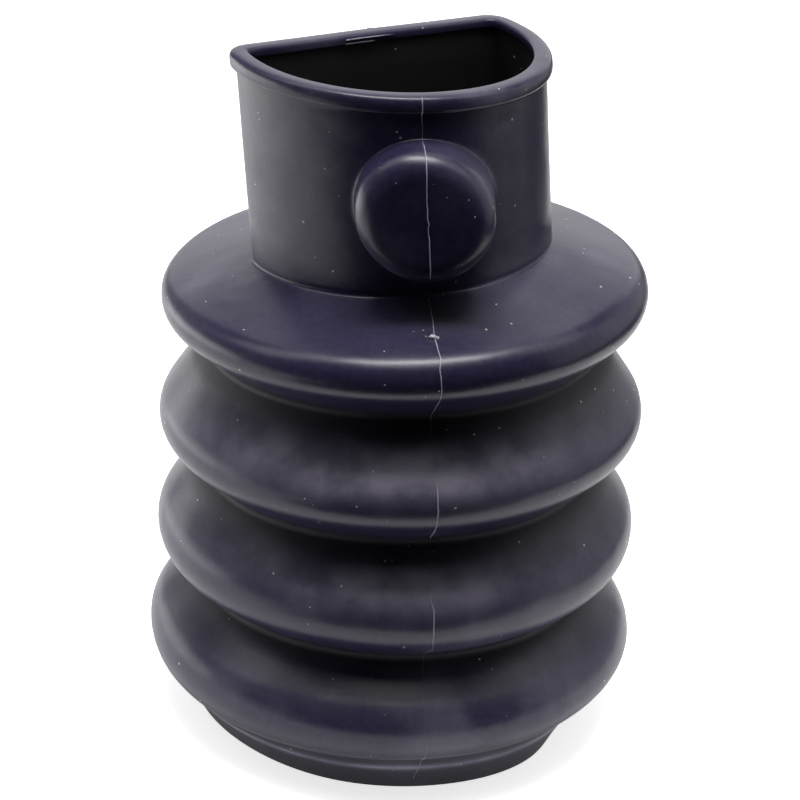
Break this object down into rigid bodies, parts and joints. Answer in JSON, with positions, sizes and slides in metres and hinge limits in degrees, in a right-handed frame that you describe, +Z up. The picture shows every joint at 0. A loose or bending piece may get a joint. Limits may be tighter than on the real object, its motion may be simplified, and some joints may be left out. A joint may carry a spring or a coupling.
{
  "type": "rubber bellows boot",
  "caption": "Moulded rubber bellows boot: a round end cuff, rounded folds, and a D-shaped neck with a rolled lip and a closed round blister.",
  "frame": {"origin": "centre of the round cuff's lower face, on the bellows axis", "axes": "+Z up the bellows axis from the cuff to the neck; -Y towards the front, where the round blister stands on the neck"},
  "size_m": [0.0766, 0.0766, 0.1081],
  "materials": {
    "moulded_rubber": "satin mould finish"
  },
  "bodies": {
    "root": {"bellows_boot": "moulded_rubber"}
  },
  "joints": []
}
